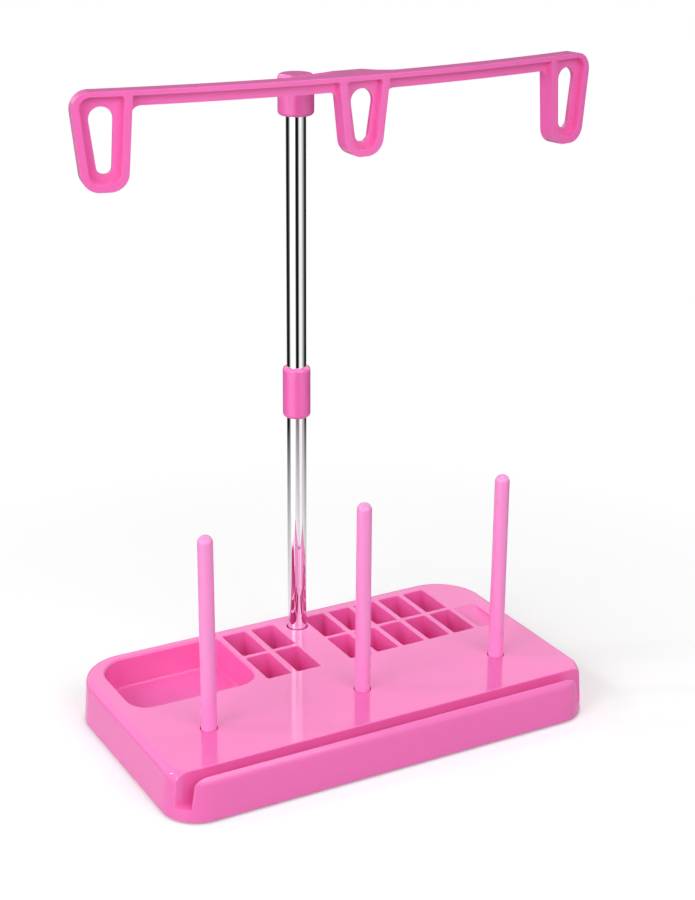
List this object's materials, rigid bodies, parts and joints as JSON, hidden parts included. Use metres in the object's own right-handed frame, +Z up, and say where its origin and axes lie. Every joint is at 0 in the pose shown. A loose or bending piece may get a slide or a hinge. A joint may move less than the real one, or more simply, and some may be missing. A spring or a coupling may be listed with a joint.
{
  "type": "thread cone stand",
  "caption": "Tabletop thread stand: a moulded base with bobbin cells, a notions tray, a front slot and upright spool pins, and a tube mast with a swivelling guide arm of hanging thread loops.",
  "frame": {"origin": "under the feet, on the mast's axis from left to right and at the middle of the base's depth", "axes": "+X to the user's right along the row of pins, -Y towards the user (the slot side), +Y to the mast side, +Z up"},
  "size_m": [0.2566, 0.1298, 0.3114],
  "materials": {
    "shell_plastic": "glossy moulded pink",
    "pin_plastic": "semi-gloss moulded pink",
    "chrome": "bright plated tube",
    "rubber": "matte black"
  },
  "bodies": {
    "base": {"base_housing": "shell_plastic", "foot_front_left": "rubber", "foot_front_right": "rubber", "foot_back_left": "rubber", "foot_back_right": "rubber"},
    "pin_left": {"spool_pin_left": "pin_plastic"},
    "pin_middle": {"spool_pin_middle": "pin_plastic"},
    "pin_right": {"spool_pin_right": "pin_plastic"},
    "lower_mast": {"mast_lower_tube": "chrome", "mast_coupling": "shell_plastic"},
    "upper_mast": {"mast_upper_tube": "chrome"},
    "guide_arm": {"thread_guide_arm": "shell_plastic"}
  },
  "joints": [
    {"name": "pin_left_lift", "type": "slide", "parent": "base", "child": "pin_left", "axis": [0, 0, 1], "range_m": [0, 0.02]},
    {"name": "pin_middle_lift", "type": "slide", "parent": "base", "child": "pin_middle", "axis": [0, 0, 1], "range_m": [0, 0.02]},
    {"name": "pin_right_lift", "type": "slide", "parent": "base", "child": "pin_right", "axis": [0, 0, 1], "range_m": [0, 0.02]},
    {"name": "lower_mast_lift", "type": "slide", "parent": "base", "child": "lower_mast", "axis": [0, 0, 1], "range_m": [0, 0.025]},
    {"name": "upper_mast_lift", "type": "slide", "parent": "lower_mast", "child": "upper_mast", "axis": [0, 0, 1], "range_m": [0, 0.015]},
    {"name": "arm_swivel", "type": "hinge", "parent": "upper_mast", "child": "guide_arm", "pos_m": [0, 0.0502, 0.3], "axis": [0, 0, 1], "continuous": true}
  ]
}
